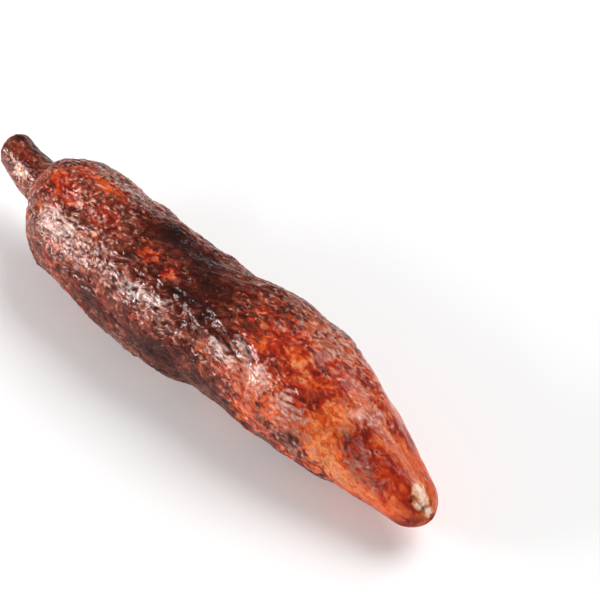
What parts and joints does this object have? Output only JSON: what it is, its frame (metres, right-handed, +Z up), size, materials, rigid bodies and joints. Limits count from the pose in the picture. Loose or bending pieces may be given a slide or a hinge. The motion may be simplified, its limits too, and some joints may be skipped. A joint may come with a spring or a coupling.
{
  "type": "cassava root",
  "caption": "Whole cassava root with brown waxed bark, a short cut neck and a long taper to a blunt tip, lying on its belly.",
  "frame": {"origin": "middle of the root's length and width, on the surface that it lies on", "axes": "+X along the root from the cut neck to the tip, +Z up"},
  "size_m": [0.3, 0.0793, 0.0618],
  "materials": {
    "bark": "waxed, mottled red-brown bark"
  },
  "bodies": {
    "root": {"cassava_root": "bark"}
  },
  "joints": []
}
